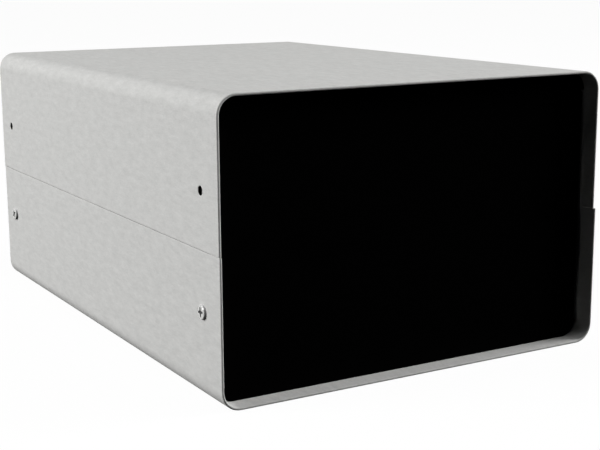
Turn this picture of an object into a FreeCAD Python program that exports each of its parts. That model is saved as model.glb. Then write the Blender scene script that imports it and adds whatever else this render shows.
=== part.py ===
import FreeCAD, Part
import math
import os

# Steel instrument enclosure: two folded covers closed on a recessed panel at each end.
# Millimetres. +Z is up, the front end faces -Y, and +X is to the right seen from the front.
# The origin is under the middle of the lower cover, on the plane it stands on.

# Covers: one folded sheet each, the upper one turned over on the lower one
TOP_COVER_WIDTH = 203.2
COVER_DEPTH = 284.2
COVER_HEIGHT = 66.525
COVER_SHEET = 1.2
COVER_INNER_BEND = 7.8
COVER_EDGE = 0.2            # edge broken all round the cut sheet
SEAM_GAP = 0.3              # daylight between the upper and lower walls

# The walls do not line up at the seam: the lower cover has sprung a little wider than the upper one
SEAM_STEP_LEFT = 0.25       # lower wall stands inside the upper one
SEAM_STEP_RIGHT = 1.25      # lower wall stands outside the upper one

# End panels: one folded sheet each, with a flange along both sides
PANEL_RECESS = 8.9
PANEL_SHEET = 1.2
PANEL_INNER_BEND = 0.8
PANEL_SIDE_PLAY = 0.15      # between the right flange and the upper cover's wall
PANEL_CORNER_PLAY = 0.6     # extra radius of the corners over the covers' inner bends
BEND_RELIEF = 1.2           # slot between a flange's end and the corner beside it

# Side fixings: two in each wall, into the panels' flanges
HOLE_FROM_PANEL = 7.6       # behind the panel's face
LOWER_HOLES_FROM_SEAM = 26.25
UPPER_HOLES_FROM_SEAM = 25.3
HOLE_PLAY = 0.25            # round the screw
HOLE_RIM = 0.25             # edge broken round the hole's mouth
FLANGE_PAST_HOLE = 8.0      # flange behind the hole's centre

# Pan-head screws with a cross recess
SCREW_RADIUS = 1.75
SCREW_LENGTH = 9.5
HEAD_RADIUS = 3.3
HEAD_HEIGHT = 2.0
HEAD_SHOULDER = 0.75        # sloped shoulder between the dome and the side of the head
CROWN_RADIUS = 7.5          # radius of the domed top
RECESS_SPAN = 3.9           # cross recess, wing tip to wing tip
RECESS_WING = 0.85          # width of a wing
RECESS_DEPTH = 1.6
RECESS_TAPER = 0.45         # share of the mouth's size left at the bottom

# Clinch nuts pressed into the flanges
THREAD_PLAY = 0.05
NUT_SHANK_WALL = 0.6
NUT_SHANK_SETBACK = 0.25    # the shank stays this far below the flange's outer face
NUT_SEAT_PLAY = 0.05        # round the shank in its hole
NUT_SEAT_WIDTH = 1.15       # ring of the nut that bears on the flange
NUT_THICKNESS = 1.8

# Worked out from the sizes above
CASE_HEIGHT = 2 * COVER_HEIGHT + SEAM_GAP
BOTTOM_COVER_WIDTH = TOP_COVER_WIDTH + SEAM_STEP_RIGHT - SEAM_STEP_LEFT
FRONT = -COVER_DEPTH / 2
BOTTOM_LEFT = -BOTTOM_COVER_WIDTH / 2
BOTTOM_RIGHT = BOTTOM_COVER_WIDTH / 2
TOP_LEFT = BOTTOM_LEFT - SEAM_STEP_LEFT
TOP_RIGHT = TOP_LEFT + TOP_COVER_WIDTH
PANEL_LEFT = max(TOP_LEFT, BOTTOM_LEFT) + COVER_SHEET
PANEL_RIGHT = min(TOP_RIGHT, BOTTOM_RIGHT) - COVER_SHEET - PANEL_SIDE_PLAY
PANEL_FACE = FRONT + PANEL_RECESS
PANEL_CORNER = COVER_INNER_BEND + PANEL_CORNER_PLAY
PANEL_BEND = PANEL_INNER_BEND + PANEL_SHEET
PANEL_BOTTOM = COVER_SHEET
PANEL_TOP = CASE_HEIGHT - COVER_SHEET
FLANGE_BOTTOM = PANEL_BOTTOM + PANEL_CORNER + BEND_RELIEF
FLANGE_TOP = PANEL_TOP - PANEL_CORNER - BEND_RELIEF
FLANGE_DEPTH = HOLE_FROM_PANEL + FLANGE_PAST_HOLE
HOLE_RADIUS = SCREW_RADIUS + HOLE_PLAY
HOLE_FRONT = PANEL_FACE + HOLE_FROM_PANEL
HOLE_LOW = COVER_HEIGHT - LOWER_HOLES_FROM_SEAM
HOLE_HIGH = COVER_HEIGHT + SEAM_GAP + UPPER_HOLES_FROM_SEAM
NUT_BORE = SCREW_RADIUS + THREAD_PLAY
NUT_SHANK_RADIUS = NUT_BORE + NUT_SHANK_WALL
NUT_RADIUS = NUT_SHANK_RADIUS + NUT_SEAT_PLAY + NUT_SEAT_WIDTH
FIXING_ROWS = {"front": HOLE_FRONT, "rear": -HOLE_FRONT}

X_AXIS = FreeCAD.Vector(1, 0, 0)
Y_AXIS = FreeCAD.Vector(0, 1, 0)
Z_AXIS = FreeCAD.Vector(0, 0, 1)
TINY = 1e-4
PAST = 1.0                  # how far a cutter runs beyond the sheet it cuts


def lines_through(points):
    """Straight edges joining the points in turn."""
    return [Part.LineSegment(a, b).toShape() for a, b in zip(points, points[1:])]


def arc(centre, radius, start, end, across, up):
    """Edge of a round corner from one angle to another, in degrees."""
    def on_circle(angle):
        turn = math.radians(angle)
        return centre + across * (radius * math.cos(turn)) + up * (radius * math.sin(turn))
    return Part.Arc(on_circle(start), on_circle((start + end) / 2), on_circle(end)).toShape()


def channel(left, right, base, rim, sheet, inner, start, length, across, up, along):
    """Sheet folded to a U: a web on the base, a wall at each side up to the rim, pushed along its length."""
    def at(u, v):
        return across * u + up * v + along * start
    bend = inner + sheet
    left_centre = at(left + bend, base + bend)
    right_centre = at(right - bend, base + bend)
    edges = lines_through([at(left, rim), at(left, base + bend)])
    edges.append(arc(left_centre, bend, 180, 270, across, up))
    edges += lines_through([at(left + bend, base), at(right - bend, base)])
    edges.append(arc(right_centre, bend, 270, 360, across, up))
    edges += lines_through([at(right, base + bend), at(right, rim), at(right - sheet, rim),
                            at(right - sheet, base + bend)])
    edges.append(arc(right_centre, inner, 360, 270, across, up))
    edges += lines_through([at(right - bend, base + sheet), at(left + bend, base + sheet)])
    edges.append(arc(left_centre, inner, 270, 180, across, up))
    edges += lines_through([at(left + sheet, base + bend), at(left + sheet, rim), at(left, rim)])
    return Part.Face(Part.Wire(edges)).extrude(along * length)


def crossbar(radius, y, z, x_from, x_to):
    """Cylinder across the case, for the holes in a side wall."""
    return Part.makeCylinder(radius, x_to - x_from, FreeCAD.Vector(x_from, y, z), X_AXIS)


def box_between(low, high):
    """Box between two corners."""
    size = high - low
    return Part.makeBox(size.x, size.y, size.z, low)


def cover(left, right, hole_height):
    """Folded cover standing on its web, with its cut edges broken and two holes in each wall."""
    sheet = channel(left, right, 0, COVER_HEIGHT, COVER_SHEET, COVER_INNER_BEND, FRONT, COVER_DEPTH,
                    X_AXIS, Z_AXIS, Y_AXIS)
    cut_edges = []
    for edge in sheet.Edges:
        box = edge.BoundBox
        on_end = box.YLength < TINY and abs(abs(box.YMin) - COVER_DEPTH / 2) < TINY
        on_rim = box.ZLength < TINY and abs(box.ZMin - COVER_HEIGHT) < TINY
        if on_end or on_rim:
            cut_edges.append(edge)
    sheet = sheet.makeChamfer(COVER_EDGE, cut_edges)
    for y in FIXING_ROWS.values():
        sheet = sheet.cut(crossbar(HOLE_RADIUS, y, hole_height, left - PAST, right + PAST))
    mouths = []
    for edge in sheet.Edges:
        box = edge.BoundBox
        is_hole = abs(edge.Length - 2 * math.pi * HOLE_RADIUS) < TINY
        on_outside = abs(box.XMin - left) < TINY or abs(box.XMax - right) < TINY
        if is_hole and on_outside:
            mouths.append(edge)
    return sheet.makeChamfer(HOLE_RIM, mouths)


def bottom_cover():
    """Lower cover, standing on its floor."""
    return cover(BOTTOM_LEFT, BOTTOM_RIGHT, HOLE_LOW)


def top_cover():
    """Upper cover: the same fold turned over, its holes a little nearer the seam."""
    folded = cover(TOP_LEFT, TOP_RIGHT, CASE_HEIGHT - HOLE_HIGH)
    return folded.mirror(FreeCAD.Vector(0, 0, CASE_HEIGHT / 2), Z_AXIS)


def face_plate():
    """Flat face of a panel with its round corners, cut back where the flanges are bent away."""
    def at(x, z):
        return FreeCAD.Vector(x, PANEL_FACE, z)
    edges = []
    corners = [(PANEL_LEFT, PANEL_BOTTOM, 1, 1, 180), (PANEL_RIGHT, PANEL_BOTTOM, -1, 1, 270),
               (PANEL_RIGHT, PANEL_TOP, -1, -1, 0), (PANEL_LEFT, PANEL_TOP, 1, -1, 90)]
    for x, z, to_right, to_up, start in corners:
        centre = at(x + to_right * PANEL_CORNER, z + to_up * PANEL_CORNER)
        edges.append(arc(centre, PANEL_CORNER, start, start + 90, X_AXIS, Z_AXIS))
    rounds = list(edges)
    for index, edge in enumerate(rounds):
        following = rounds[(index + 1) % len(rounds)]
        edges += lines_through([edge.lastVertex().Point, following.firstVertex().Point])
    outline = Part.Wire(Part.__sortEdges__(edges))
    plate = Part.Face(outline).extrude(Y_AXIS * PANEL_SHEET)
    bent_away = ((PANEL_LEFT - PAST, PANEL_LEFT + PANEL_BEND), (PANEL_RIGHT - PANEL_BEND, PANEL_RIGHT + PAST))
    for x_from, x_to in bent_away:
        low = FreeCAD.Vector(x_from, PANEL_FACE - PAST, FLANGE_BOTTOM - BEND_RELIEF)
        high = FreeCAD.Vector(x_to, PANEL_FACE + PANEL_SHEET + PAST, FLANGE_TOP + BEND_RELIEF)
        plate = plate.cut(box_between(low, high))
    return plate


def front_panel():
    """Panel with a flange folded inwards along each side and a hole behind each cover hole."""
    folded = channel(PANEL_LEFT, PANEL_RIGHT, PANEL_FACE, PANEL_FACE + FLANGE_DEPTH, PANEL_SHEET,
                     PANEL_INNER_BEND, FLANGE_BOTTOM, FLANGE_TOP - FLANGE_BOTTOM, X_AXIS, Y_AXIS, Z_AXIS)
    panel = face_plate().fuse(folded).removeSplitter()
    seat = NUT_SHANK_RADIUS + NUT_SEAT_PLAY
    for z in (HOLE_LOW, HOLE_HIGH):
        panel = panel.cut(crossbar(seat, HOLE_FRONT, z, PANEL_LEFT - PAST, PANEL_RIGHT + PAST))
    return panel.Solids[0]


def rear_panel():
    """The same panel facing the rear."""
    return front_panel().mirror(FreeCAD.Vector(0, 0, 0), Y_AXIS)


def turned(*runs):
    """Solid of revolution about the X axis from runs of (x, radius) spots, each straight lines or one arc."""
    edges = []
    for kind, spots in runs:
        points = [FreeCAD.Vector(x, radius, 0) for x, radius in spots]
        if kind == "arc":
            edges.append(Part.Arc(*points).toShape())
        else:
            edges += lines_through(points)
    profile = Part.Face(Part.Wire(edges))
    return profile.revolve(FreeCAD.Vector(0, 0, 0), X_AXIS, 360)


def cross_points(x, span, wing):
    """Corners of a cross square to the X axis, wing tips at half the span."""
    tip = span / 2
    side = wing / 2
    points = []
    for turns in range(4):
        for y, z in ((tip, -side), (tip, side), (side, side)):
            for _ in range(turns):
                y, z = -z, y
            points.append(FreeCAD.Vector(x, y, z))
    return points


def flat_face(points):
    """Flat face with straight edges through the points."""
    return Part.Face(Part.makePolygon(points + points[:1]))


def cross_recess():
    """Tapered cross that the driver fits, as the solid to cut from a head, all its faces flat."""
    mouth = cross_points(-HEAD_HEIGHT - TINY, RECESS_SPAN, RECESS_WING)
    bottom = cross_points(RECESS_DEPTH - HEAD_HEIGHT, RECESS_SPAN * RECESS_TAPER, RECESS_WING * RECESS_TAPER)
    faces = [flat_face(mouth), flat_face(bottom)]
    for index in range(len(mouth)):
        faces.append(flat_face([mouth[index - 1], mouth[index], bottom[index], bottom[index - 1]]))
    return Part.makeSolid(Part.makeShell(faces))


def screw():
    """Screw along +X with the underside of its head at the origin."""
    def crown(radius):
        return -HEAD_HEIGHT + CROWN_RADIUS - math.sqrt(CROWN_RADIUS ** 2 - radius ** 2)
    edge = HEAD_RADIUS - HEAD_SHOULDER
    body = turned(
        ("arc", [(-HEAD_HEIGHT, 0), (crown(edge / 2), edge / 2), (crown(edge), edge)]),
        ("line", [(crown(edge), edge), (crown(edge) + HEAD_SHOULDER, HEAD_RADIUS),
                  (0, HEAD_RADIUS), (0, SCREW_RADIUS), (SCREW_LENGTH, SCREW_RADIUS),
                  (SCREW_LENGTH, 0), (-HEAD_HEIGHT, 0)]),
    )
    return body.cut(cross_recess())


def nut():
    """Clinch nut along X, its shank pointing to -X from the flange's inner face at the origin."""
    shank_end = NUT_SHANK_SETBACK - PANEL_SHEET
    return turned(
        ("line", [(shank_end, NUT_BORE), (shank_end, NUT_SHANK_RADIUS), (0, NUT_SHANK_RADIUS),
                  (0, NUT_RADIUS), (NUT_THICKNESS, NUT_RADIUS), (NUT_THICKNESS, NUT_BORE),
                  (shank_end, NUT_BORE)]),
    )


def placed(shape, x, y, z, side):
    """Copy of a part made along X, moved to a side wall and turned to point into the case."""
    moved = shape.copy()
    if side == "right":
        moved.rotate(FreeCAD.Vector(0, 0, 0), Z_AXIS, 180)
    moved.translate(FreeCAD.Vector(x, y, z))
    return moved


def screws():
    """One screw in each hole of the lower cover."""
    pattern = screw()
    walls = (("left", BOTTOM_LEFT), ("right", BOTTOM_RIGHT))
    return {
        "screw_%s_%s" % (end, side): placed(pattern, x, y, HOLE_LOW, side)
        for end, y in FIXING_ROWS.items() for side, x in walls
    }


def nuts():
    """One clinch nut in each flange hole."""
    pattern = nut()
    flanges = (("left", PANEL_LEFT + PANEL_SHEET), ("right", PANEL_RIGHT - PANEL_SHEET))
    levels = (("lower", HOLE_LOW), ("upper", HOLE_HIGH))
    return {
        "nut_%s_%s_%s" % (end, side, level): placed(pattern, x, y, z, side)
        for end, y in FIXING_ROWS.items() for side, x in flanges for level, z in levels
    }


def enclosure():
    """Every piece of the case by its name."""
    pieces = {
        "bottom_cover": bottom_cover(),
        "top_cover": top_cover(),
        "front_panel": front_panel(),
        "rear_panel": rear_panel(),
    }
    pieces.update(screws())
    pieces.update(nuts())
    return pieces


os.makedirs("parts", exist_ok=True)
for name, shape in enclosure().items():
    shape.exportStep("parts/%s.step" % name)
    print("%s: %d solid, %.1f mm3, valid %s" % (name, len(shape.Solids), shape.Volume, shape.isValid()))
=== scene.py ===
import math
import bpy
from mathutils import Matrix, Vector


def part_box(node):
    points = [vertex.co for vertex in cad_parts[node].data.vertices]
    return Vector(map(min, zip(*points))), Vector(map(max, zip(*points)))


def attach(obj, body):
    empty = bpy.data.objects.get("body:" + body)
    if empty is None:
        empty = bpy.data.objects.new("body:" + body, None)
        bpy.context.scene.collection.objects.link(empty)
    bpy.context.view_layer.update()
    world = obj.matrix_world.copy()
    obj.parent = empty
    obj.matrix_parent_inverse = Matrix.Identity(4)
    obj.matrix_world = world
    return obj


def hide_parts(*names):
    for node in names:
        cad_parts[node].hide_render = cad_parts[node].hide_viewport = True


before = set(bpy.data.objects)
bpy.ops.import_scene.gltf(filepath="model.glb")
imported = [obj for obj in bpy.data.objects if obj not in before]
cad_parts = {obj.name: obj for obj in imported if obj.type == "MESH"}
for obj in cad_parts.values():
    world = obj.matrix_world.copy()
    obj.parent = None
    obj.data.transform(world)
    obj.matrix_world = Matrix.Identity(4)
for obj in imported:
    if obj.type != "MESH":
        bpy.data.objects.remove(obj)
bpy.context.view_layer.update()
MM = 0.001

# Cut edges of the covers. The CAD breaks them straight. Here their paint rounds them.
BROKEN = 0.21 * MM               # how far the CAD's broken edges reach back
PAINT_ROUND = 0.55 * MM          # radius of the cut edges at both ends under their paint
RIM_SHARE = 0.25                 # share of that radius along the seam
HOLE_SHARE = 0.16                # and round the holes
PAINT_SEGMENTS = 6
SHARP_ANGLE = math.radians(40)   # edges as sharp as this are cut edges
FLAT_ANGLE = math.radians(1)     # faces that meet at less than this become one
SMOOTH_ANGLE = math.radians(35)  # edges less sharp than this are shaded smooth
TINY = 0.01 * MM                 # a vertex this near to a plane lies on it
MERGE = 0.001 * MM               # vertices nearer to each other than this become one

# The upper shell's right wall, which comes down a little into the seam
SAG = 0.2 * MM
RIGHT_WALL_FROM = 95 * MM        # its vertices lie further right than this
WALL_FOOT = 67.2 * MM            # and those of its foot lie lower than this

# The screw holes in the covers
HOLE_Y = 125.6 * MM
HOLE_HEIGHTS = (40.275 * MM, 92.125 * MM)
HOLE_RADIUS = 2.06 * MM
HOLE_WALL_FROM = 99 * MM         # the side walls lie further out than this

# The screws: how far each ring of the head stands out of the wall, and its radius
HEAD_RINGS = (
    (0.72 * MM, 3.26 * MM),
    (1.00 * MM, 3.19 * MM),
    (1.16 * MM, 3.00 * MM),
    (1.25 * MM, 2.70 * MM),
    (1.31 * MM, 2.20 * MM),
    (1.35 * MM, 1.55 * MM),
    (1.37 * MM, 0.80 * MM),
)
CROWN = HEAD_RINGS[-1][0]
HEAD_FOOT = 3.24 * MM
SCREW_SIDES = 48
SHANK_RADIUS = 1.7 * MM
ROOT_RADIUS = 1.35 * MM
THREAD_PITCH = 0.8 * MM
THREAD_TURNS = 11
UPRIGHT = 0.9                    # an end face's normal lies along the axis by more than this share

# The cross recess in a head
RECESS_SPAN = 4.4 * MM
RECESS_WING = 1.0 * MM
RECESS_MIDDLE = 1.05 * MM
RECESS_SIDES = 24
RECESS_FLOOR = -0.6 * MM         # height of the recess's floor above the wall
RECESS_TAPER = 0.42              # share of its width that the recess keeps at the floor
CUTTER_ABOVE = 1.0 * MM          # how far the cutters stand over the crown
# Turn in degrees and extra depth of each part of the recess. No two are alike and none meets the
# head's edges squarely, so that the cuts come out the same on every run.
WING_TURNS = ((1.3, 0.0), (91.9, 0.011 * MM))
MIDDLE_TURN = 4.7
MIDDLE_SINK = 0.027 * MM

# The materials of a head's faces
RECESS_REACH = RECESS_SPAN * 0.6  # the recess's faces lie nearer to the axis than this
RECESS_UNDER = 0.04 * MM         # and further under the crown than this
SIDE_FROM = HEAD_FOOT * 0.9      # the side's faces lie further from the axis than this
SIDE_TOP = HEAD_RINGS[2][0]      # and lower than this
BRIGHT_SLOT, SIDE_SLOT, RECESS_SLOT = range(3)

# Each screw's turn about its own axis, in degrees
SCREW_TURNS = {"front_left": 4, "rear_left": 37, "front_right": 62, "rear_right": 15}

# The light grey coat: its fine pebbles and its wider blotches
PEBBLE = 1.1 * MM
MOTTLE = 5.0 * MM
MOTTLE_SHARE = 0.6               # share of the blotches in its tone
MOTTLE_RELIEF = 0.5              # and in its relief, beside the pebbles
GRAIN_STRETCH = (2.0, 0.6, 2.0)  # finer across the case than along it
COAT_GREYS = (0.42, 0.74)
COAT_WARMTH = 0.02
COAT_ROUGHNESS = 0.52
COAT_DRIFT = 0.16
COAT_RELIEF = 0.035 * MM

# Dull metal, and the side of a head, which turns from painted shade below to painted light above between
# two heights
DULL_GRAIN = 0.8 * MM
DULL_DETAIL = 3.0
DULL_ROUGHNESS = 0.7
DULL_DRIFT = 0.2
SIDE_SHADE_GREYS = (0.1, 0.72)
SIDE_SHADE_FROM = 38 * MM
SIDE_SHADE_TO = 42.8 * MM
SIDE_SHADE_DRIFT = 0.2

# Lamps: name, place, width, watts
LAMPS = (
    ("left", (-2.4, 0.6, 0.95), 1.0, 56),
    ("left_high", (-1.9, 0.7, 1.9), 1.2, 22),
    ("right_front", (2.31, -0.79, 0.95), 1.0, 73),
    ("front_high", (0.9, -1.2, 2.2), 1.0, 12),
    ("rear", (-0.3, 2.5, 0.8), 1.2, 2),
)
AIM = (0, 0, 0.06)               # the place that they all face

# The floor and the white room
FLOOR_SIZE = 40
FLOOR_SHADOW = 0.03              # share of its shadow that shows
FLOOR_GREY = 0.005               # share of the light that it sends back to the object
ROOM_GREY = 0.001                # light that the room gives the object

# Camera of the photograph: place, direction and lens, in metres, degrees and millimetres
CAMERA_PLACE = (-0.324321, -0.589417, 0.183465)
CAMERA_YAW = 30.175
CAMERA_PITCH = -11.688
CAMERA_ROLL = -0.320
CAMERA_LENS = 75.64
CAMERA_SENSOR = 36.0
CAMERA_REACH = (0.01, 100)       # nearest and furthest distance that it sees


class Signal:
    """A value that varies over a surface. Sums written on it become Math nodes of its shader."""

    def __init__(self, shader, socket):
        self.shader = shader
        self.socket = socket

    def maths(self, operation, first, second):
        """Math node of two values, each a signal or a number."""
        return self.shader.node("ShaderNodeMath", {"operation": operation}, {0: first, 1: second})

    def __add__(self, other):
        return self.maths("ADD", self, other)

    def __radd__(self, other):
        return self.maths("ADD", other, self)

    def __sub__(self, other):
        return self.maths("SUBTRACT", self, other)

    def __rsub__(self, other):
        return self.maths("SUBTRACT", other, self)

    def __mul__(self, other):
        return self.maths("MULTIPLY", self, other)

    def __rmul__(self, other):
        return self.maths("MULTIPLY", other, self)


class Shader:
    """The nodes of a material or of the world."""

    def __init__(self, owner):
        owner.use_nodes = True
        self.nodes = owner.node_tree.nodes
        self.links = owner.node_tree.links
        self.nodes.clear()

    def node(self, kind, settings, sockets, output=0):
        """Adds a node, sets it, feeds its sockets with numbers or signals, and gives one output."""
        made = self.nodes.new(kind)
        for name, value in settings.items():
            setattr(made, name, value)
        for name, value in sockets.items():
            if isinstance(value, Signal):
                self.links.new(value.socket, made.inputs[name])
            else:
                made.inputs[name].default_value = value
        return Signal(self, made.outputs[output]) if made.outputs else None


class Finish(Shader):
    """A material, with the shader that its surface is made of."""

    def __init__(self, name):
        self.material = bpy.data.materials.new(name)
        super().__init__(self.material)
        self.place = self.node("ShaderNodeTexCoord", {}, {}, "Object")

    def noise(self, grain, detail, roughness=0.5):
        """Noise whose blotches are about that many metres across, from 0 to 1."""
        sockets = {"Vector": self.place, "Scale": 1.0 / grain, "Detail": detail, "Roughness": roughness}
        return self.node("ShaderNodeTexNoise", {}, sockets, "Fac")

    def blend(self, amount, first, second):
        """Colour between two colours. A Mix node's colours are its sockets 6 and 7, and its output 2."""
        return self.node("ShaderNodeMix", {"data_type": "RGBA"}, {0: amount, 6: first, 7: second}, 2)

    def bump(self, height, distance):
        """Normal of a surface with that relief."""
        return self.node("ShaderNodeBump", {}, {"Height": height, "Distance": distance, "Strength": 1.0})

    def close(self, surface):
        """Makes a shader the material's surface, and gives the material."""
        self.node("ShaderNodeOutputMaterial", {}, {"Surface": surface})
        return self.material

    def surface(self, **sockets):
        """Closes the material with a shader whose sockets are given by name."""
        named = {name.replace("_", " "): value for name, value in sockets.items()}
        return self.close(self.node("ShaderNodeBsdfPrincipled", {}, named))


def grey(level, warm=0.0):
    """Opaque grey with a little less blue."""
    return (level, level, level * (1 - warm), 1)


def powder_coat():
    """Light grey powder coat: fine pebbled grain with faint mottling, drawn out along the case."""
    paint = Finish("grey_powder_coat")
    stretched = {0: paint.place, 1: GRAIN_STRETCH}
    paint.place = paint.node("ShaderNodeVectorMath", {"operation": "MULTIPLY"}, stretched)
    pebble = paint.noise(PEBBLE, detail=3.0, roughness=0.6)
    mottle = paint.noise(MOTTLE, detail=4.0, roughness=0.65)
    tone = mottle * MOTTLE_SHARE + pebble * (1 - MOTTLE_SHARE)
    dark, light = (grey(level, COAT_WARMTH) for level in COAT_GREYS)
    return paint.surface(
        Base_Color=paint.blend(tone, dark, light),
        Roughness=COAT_ROUGHNESS + pebble * COAT_DRIFT,
        Specular_IOR_Level=0.0,
        Normal=paint.bump(pebble + mottle * MOTTLE_RELIEF, COAT_RELIEF),
    )


def clouded(name, grain, detail, low, high, roughness, drift, relief=0.0, **sockets):
    """Finish whose colour and roughness drift together over its surface, with a faint relief."""
    finish = Finish(name)
    cloud = finish.noise(grain, detail)
    if relief:
        sockets["Normal"] = finish.bump(cloud, relief)
    return finish.surface(
        Base_Color=finish.blend(cloud, low, high),
        Roughness=roughness + cloud * drift,
        **sockets,
    )


def matt_black():
    """Dead matt black paint with a fine grain."""
    return clouded(
        "matt_black_paint", grain=0.6 * MM, detail=2.0, low=grey(0.0008), high=grey(0.0018),
        roughness=0.62, drift=0.2, relief=0.02 * MM, Specular_IOR_Level=0.0,
    )


def bright_plate():
    """Bright nickel plate on the screws, a little uneven."""
    return clouded(
        "bright_plate", grain=1.2 * MM, detail=3.0, low=(0.48, 0.48, 0.47, 1), high=(0.7, 0.7, 0.68, 1),
        roughness=0.13, drift=0.12, relief=0.01 * MM, Metallic=1.0,
    )


def zinc_plate():
    """Dull zinc plate on the nuts."""
    return clouded(
        "zinc_plate", grain=0.9 * MM, detail=3.0, low=(0.46, 0.47, 0.47, 1), high=(0.6, 0.6, 0.58, 1),
        roughness=0.36, drift=0.18, Metallic=1.0,
    )


def dark_shade_metal(name, low, high):
    """Metal with no shine, its dark tone painted shade: the recess of a screw, the cut wall of a hole.
    """
    return clouded(
        name, grain=DULL_GRAIN, detail=DULL_DETAIL, low=grey(low), high=grey(high),
        roughness=DULL_ROUGHNESS, drift=DULL_DRIFT, relief=0.02 * MM, Specular_IOR_Level=0.0,
    )


def shaded_head_side():
    """Side of a screw's head: painted shade underneath and painted light on top, with a little random
    drift.
    """
    steel = Finish("shaded_head_side")
    cloud = steel.noise(DULL_GRAIN, DULL_DETAIL)
    height = steel.node("ShaderNodeSeparateXYZ", {}, {"Vector": steel.place}, "Z")
    # Height grades the side's colour from painted shade low on the head to painted light high on it
    lit_share = (height - SIDE_SHADE_FROM) * (1 / (SIDE_SHADE_TO - SIDE_SHADE_FROM)) + (cloud - 0.5) * SIDE_SHADE_DRIFT
    dark, bright = (grey(level) for level in SIDE_SHADE_GREYS)
    return steel.surface(
        Base_Color=steel.blend(lit_share, dark, bright),
        Roughness=DULL_ROUGHNESS + cloud * DULL_DRIFT,
        Specular_IOR_Level=0.0,
    )


def painted(node, material):
    """Puts a finish on a CAD node."""
    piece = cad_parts[node]
    for holder in piece.material_slots:
        holder.material = material


def added(name, data):
    """New object of the scene with that mesh, lamp or camera."""
    holder = bpy.data.objects.new(name, data)
    bpy.context.scene.collection.objects.link(holder)
    return holder


def take(piece):
    """Makes a piece the only one selected, and the active one."""
    bpy.ops.object.select_all(action="DESELECT")
    bpy.context.view_layer.objects.active = piece
    piece.select_set(True)


def pick(piece, kind, wanted):
    """Selects, in edit mode, those of a piece's vertices or polygons that a rule picks."""
    bpy.ops.mesh.select_mode(type="VERT")
    bpy.ops.mesh.select_all(action="DESELECT")
    bpy.ops.object.mode_set(mode="OBJECT")
    for part in getattr(piece.data, kind):
        part.select = wanted(part)
    bpy.ops.object.mode_set(mode="EDIT")


def applied(piece, kind, **settings):
    """Gives the active piece a modifier and makes the result its mesh."""
    modifier = piece.modifiers.new(kind, kind)
    for name, value in settings.items():
        setattr(modifier, name, value)
    bpy.ops.object.modifier_apply(modifier=modifier.name)


def in_hole(place):
    """Whether a place lies on the cut wall of one of the screw holes."""
    nearest = min(math.hypot(abs(place.y) - HOLE_Y, place.z - height) for height in HOLE_HEIGHTS)
    return abs(place.x) > HOLE_WALL_FROM and nearest < HOLE_RADIUS


def square_edges(piece, end, rim):
    """Makes the broken edges of a cover square again, in edit mode, and its flat faces whole."""
    for side in (-1, 1):
        pick(piece, "vertices", lambda corner: side * corner.co.y > end - BROKEN)
        bpy.ops.transform.resize(value=(1, 0, 1), center_override=(0, side * end, 0))
    pick(piece, "vertices", lambda corner: abs(corner.co.z - rim) < BROKEN)
    bpy.ops.transform.resize(value=(1, 1, 0), center_override=(0, 0, rim))
    bpy.ops.mesh.select_all(action="SELECT")
    bpy.ops.mesh.remove_doubles(threshold=MERGE)
    bpy.ops.mesh.dissolve_degenerate(threshold=MERGE)
    bpy.ops.mesh.dissolve_limited(angle_limit=FLAT_ANGLE)


def paint_share(places, end, rim):
    """Share of the paint's radius that the cut edge between two places gets."""
    if all(abs(place.z - rim) < TINY for place in places):
        return RIM_SHARE
    if all(abs(place.y) > end - TINY for place in places):
        return 1
    return HOLE_SHARE


def weigh_edges(piece, end, rim):
    """Gives each cut edge of a cover its share of rounding, from edit mode, and leaves that mode."""
    bpy.ops.mesh.select_mode(type="EDGE")
    bpy.ops.mesh.select_all(action="DESELECT")
    bpy.ops.mesh.edges_select_sharp(sharpness=SHARP_ANGLE)
    bpy.ops.object.mode_set(mode="OBJECT")
    weights = piece.data.attributes.new("bevel_weight_edge", "FLOAT", "EDGE")
    for edge in piece.data.edges:
        if edge.select:
            places = [piece.data.vertices[i].co for i in edge.vertices]
            weights.data[edge.index].value = paint_share(places, end, rim)


def softened(node, name, material, cut):
    """Copy of a folded cover whose cut edges are rounded by their paint."""
    piece = added(name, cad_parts[node].data.copy())
    take(piece)
    bpy.ops.mesh.customdata_custom_splitnormals_clear()
    low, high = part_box(node)
    end = high[1]
    rim = high[2] if node == "bottom_cover" else low[2]
    bpy.ops.object.mode_set(mode="EDIT")
    square_edges(piece, end, rim)
    weigh_edges(piece, end, rim)
    if node == "top_cover":
        bpy.ops.object.mode_set(mode="EDIT")
        pick(piece, "vertices", lambda corner: corner.co.x > RIGHT_WALL_FROM and corner.co.z < WALL_FOOT)
        bpy.ops.transform.translate(value=(0, 0, -SAG))
        bpy.ops.object.mode_set(mode="OBJECT")
    applied(piece, "BEVEL", width=PAINT_ROUND, segments=PAINT_SEGMENTS, limit_method="WEIGHT")
    bpy.ops.object.shade_smooth_by_angle(angle=SMOOTH_ANGLE)
    applied(piece, "WEIGHTED_NORMAL", mode="FACE_AREA", keep_sharp=True)
    piece.data.materials.clear()
    piece.data.materials.append(material)
    piece.data.materials.append(cut)
    # Faces on the holes' cut walls take the second finish, a near-black painted shade
    for face in piece.data.polygons:
        face.material_index = int(all(in_hole(piece.data.vertices[i].co) for i in face.vertices))
    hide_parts(node)
    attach(piece, "root")


def narrow(share):
    """Brings the selected end of a piece in or out about the axis by a share."""
    bpy.ops.transform.resize(value=(share, share, 1), center_override=(0, 0, 0))


def ring(rise, share):
    """Draws the selected end of a round piece out, and then brings it in or out."""
    bpy.ops.mesh.extrude_region_move(TRANSFORM_OT_translate={"value": (0, 0, rise)})
    narrow(share)


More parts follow.
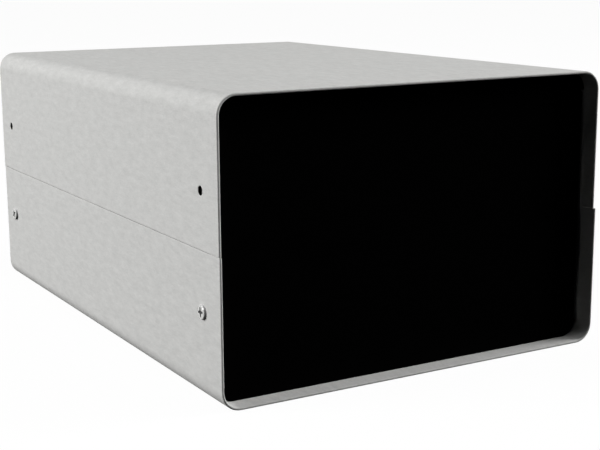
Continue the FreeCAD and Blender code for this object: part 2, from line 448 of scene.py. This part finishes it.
def recess_cutters():
    """Two tapered wings and a tapered middle, which together cut a cross recess."""
    depth = CROWN + CUTTER_ABOVE - RECESS_FLOOR
    middle = RECESS_FLOOR + depth / 2
    mouth = depth / (CROWN - RECESS_FLOOR)
    widen = 1 + (1 - RECESS_TAPER) * (mouth - 1)
    cutters = []
    for turn, sink in WING_TURNS:
        bpy.ops.mesh.primitive_cube_add(size=1, location=(0, 0, middle - sink / 2))
        wing = bpy.context.active_object
        wing.scale = (RECESS_SPAN * widen, RECESS_WING * widen, depth + sink)
        wing.rotation_euler = (0, 0, math.radians(turn))
        bpy.ops.object.transform_apply()
        bpy.ops.object.mode_set(mode="EDIT")
        pick(wing, "polygons", lambda face: face.normal.z < -UPRIGHT)
        narrow(RECESS_TAPER / widen)
        bpy.ops.object.mode_set(mode="OBJECT")
        cutters.append(wing)
    bpy.ops.mesh.primitive_cone_add(
        vertices=RECESS_SIDES, radius1=RECESS_MIDDLE * RECESS_TAPER, radius2=RECESS_MIDDLE * widen,
        depth=depth + MIDDLE_SINK, location=(0, 0, middle - MIDDLE_SINK / 2),
        rotation=(0, 0, math.radians(MIDDLE_TURN)),
    )
    bpy.ops.object.transform_apply()
    cutters.append(bpy.context.active_object)
    return cutters


def pan_head_screw():
    """One screw standing on its axis at the origin, with the wall's face at height nought."""
    height, radius = HEAD_RINGS[0]
    bpy.ops.mesh.primitive_cylinder_add(
        vertices=SCREW_SIDES, radius=HEAD_FOOT, depth=height, location=(0, 0, height / 2)
    )
    piece = bpy.context.active_object
    bpy.ops.object.transform_apply()
    bpy.ops.object.mode_set(mode="EDIT")
    pick(piece, "polygons", lambda face: face.normal.z > UPRIGHT)
    narrow(radius / HEAD_FOOT)
    for before, after in zip(HEAD_RINGS, HEAD_RINGS[1:]):
        ring(after[0] - before[0], after[1] / before[1])
    pick(piece, "polygons", lambda face: face.normal.z < -UPRIGHT)
    bpy.ops.mesh.inset(thickness=HEAD_FOOT - SHANK_RADIUS)
    for turn in range(THREAD_TURNS):
        ring(-THREAD_PITCH / 2, ROOT_RADIUS / SHANK_RADIUS)
        ring(-THREAD_PITCH / 2, SHANK_RADIUS / ROOT_RADIUS)
    ring(-THREAD_PITCH / 2, ROOT_RADIUS / SHANK_RADIUS)
    bpy.ops.object.mode_set(mode="OBJECT")
    for cutter in recess_cutters():
        take(piece)
        applied(piece, "BOOLEAN", operation="DIFFERENCE", solver="EXACT", object=cutter)
        bpy.data.objects.remove(cutter)
    bpy.ops.object.mode_set(mode="EDIT")
    bpy.ops.mesh.select_all(action="SELECT")
    bpy.ops.mesh.remove_doubles(threshold=MERGE)
    bpy.ops.object.mode_set(mode="OBJECT")
    bpy.ops.object.shade_smooth_by_angle(angle=SMOOTH_ANGLE)
    return piece


def crown_height(radius):
    """Height of the head's outside at a radius."""
    outside = [(0, CROWN)] + [(r, h) for h, r in reversed(HEAD_RINGS)]
    for (r0, h0), (r1, h1) in zip(outside, outside[1:]):
        if radius <= r1:
            return h0 + (h1 - h0) * (radius - r0) / (r1 - r0)
    return 0


def head_slot(place):
    """Material slot of a screw's face by its middle."""
    radius = math.hypot(place.x, place.y)
    if radius < RECESS_REACH and RECESS_FLOOR < place.z < crown_height(radius) - RECESS_UNDER:
        return RECESS_SLOT
    if radius > SIDE_FROM and 0 < place.z < SIDE_TOP:
        return SIDE_SLOT
    return BRIGHT_SLOT


def screws(bright, side, recess):
    """The fine screws, each in the place of its CAD solid."""
    pattern = pan_head_screw()
    for material in (bright, side, recess):
        pattern.data.materials.append(material)
    for face in pattern.data.polygons:
        face.material_index = head_slot(face.center)
    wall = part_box("bottom_cover")
    for name, turn in SCREW_TURNS.items():
        low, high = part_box("screw_" + name)
        left = name.endswith("left")
        piece = added("pan_head_" + name, pattern.data.copy())
        place = (wall[0][0] if left else wall[1][0], (low[1] + high[1]) / 2, (low[2] + high[2]) / 2)
        face_out = Matrix.Rotation(math.radians(-90 if left else 90), 4, "Y")
        turned = Matrix.Rotation(math.radians(turn), 4, "Z")
        piece.matrix_world = Matrix.Translation(place) @ face_out @ turned
        take(piece)
        bpy.ops.object.transform_apply()
        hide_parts("screw_" + name)
        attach(piece, "root")
    bpy.data.objects.remove(pattern)


def lamp(name, place, width, watts):
    """Soft square lamp that faces the object."""
    light = bpy.data.lights.new(name, "AREA")
    light.shape = "SQUARE"
    light.size = width
    light.energy = watts
    holder = added(name, light)
    holder.location = place
    holder.rotation_mode = "QUATERNION"
    holder.rotation_quaternion = (Vector(AIM) - Vector(place)).to_track_quat("-Z", "Y")


def background_rays(shader):
    """1 where the floor or the room is seen directly, mirrored or through glass."""
    rays = shader.node("ShaderNodeLightPath", {}, {}).socket.node.outputs
    seen = Signal(shader, rays["Is Camera Ray"])
    for ray in ("Is Glossy Ray", "Is Transmission Ray"):
        seen = seen.maths("MAXIMUM", seen, Signal(shader, rays[ray]))
    return seen


def floor():
    """Plain pale floor that keeps a faint shadow and sends little light back."""
    bpy.ops.mesh.primitive_plane_add(size=FLOOR_SIZE, location=(0, 0, 0))
    plane = bpy.context.active_object
    plane.name = "floor"
    finish = Finish("pale_floor")
    paper = finish.node("ShaderNodeBsdfDiffuse", {}, {"Color": grey(1)})
    white = finish.node("ShaderNodeEmission", {}, {"Color": grey(1), "Strength": 1.0})
    dim = finish.node("ShaderNodeBsdfDiffuse", {}, {"Color": grey(FLOOR_GREY)})
    shown = finish.node("ShaderNodeMixShader", {}, {0: FLOOR_SHADOW, 1: white, 2: paper})
    mixed = finish.node("ShaderNodeMixShader", {}, {0: background_rays(finish), 1: dim, 2: shown})
    plane.data.materials.append(finish.close(mixed))


def room():
    """White room for the camera and for reflections, dim for the light it gives."""
    world = bpy.data.worlds.new("room")
    bpy.context.scene.world = world
    shader = Shader(world)
    dim = shader.node("ShaderNodeBackground", {}, {"Color": grey(1), "Strength": ROOM_GREY})
    white = shader.node("ShaderNodeBackground", {}, {"Color": grey(1), "Strength": 1.0})
    mixed = shader.node("ShaderNodeMixShader", {}, {0: background_rays(shader), 1: dim, 2: white})
    shader.node("ShaderNodeOutputWorld", {}, {"Surface": mixed})


def camera():
    """Camera where the photograph was taken from."""
    lens = bpy.data.cameras.new("camera")
    lens.lens = CAMERA_LENS
    lens.sensor_width = CAMERA_SENSOR
    lens.clip_start, lens.clip_end = CAMERA_REACH
    holder = added("camera", lens)
    yaw = Matrix.Rotation(math.radians(-CAMERA_YAW), 4, "Z")
    pitch = Matrix.Rotation(math.radians(90 + CAMERA_PITCH), 4, "X")
    roll = Matrix.Rotation(math.radians(CAMERA_ROLL), 4, "Z")
    holder.matrix_world = Matrix.Translation(CAMERA_PLACE) @ yaw @ pitch @ roll
    bpy.context.scene.camera = holder


coat = powder_coat()
black = matt_black()
plate = bright_plate()
zinc = zinc_plate()
# The near-black cut walls of the screw holes are painted shade
shade_for_holes = dark_shade_metal("painted_hole_shade", low=0.004, high=0.012)
softened("bottom_cover", "lower_shell", coat, shade_for_holes)
softened("top_cover", "upper_shell", coat, shade_for_holes)
# The recess's dark grey is painted shade, and the head's side is graded by painted shade and light
screws(plate, shaded_head_side(), dark_shade_metal("shaded_recess", low=0.13, high=0.24))
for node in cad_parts:
    if node.startswith("nut"):
        painted(node, zinc)
    elif node.endswith("panel"):
        painted(node, black)

floor()
room()
for name, place, width, watts in LAMPS:
    lamp(name, place, width, watts)
camera()

bpy.context.scene.view_settings.view_transform = "Standard"
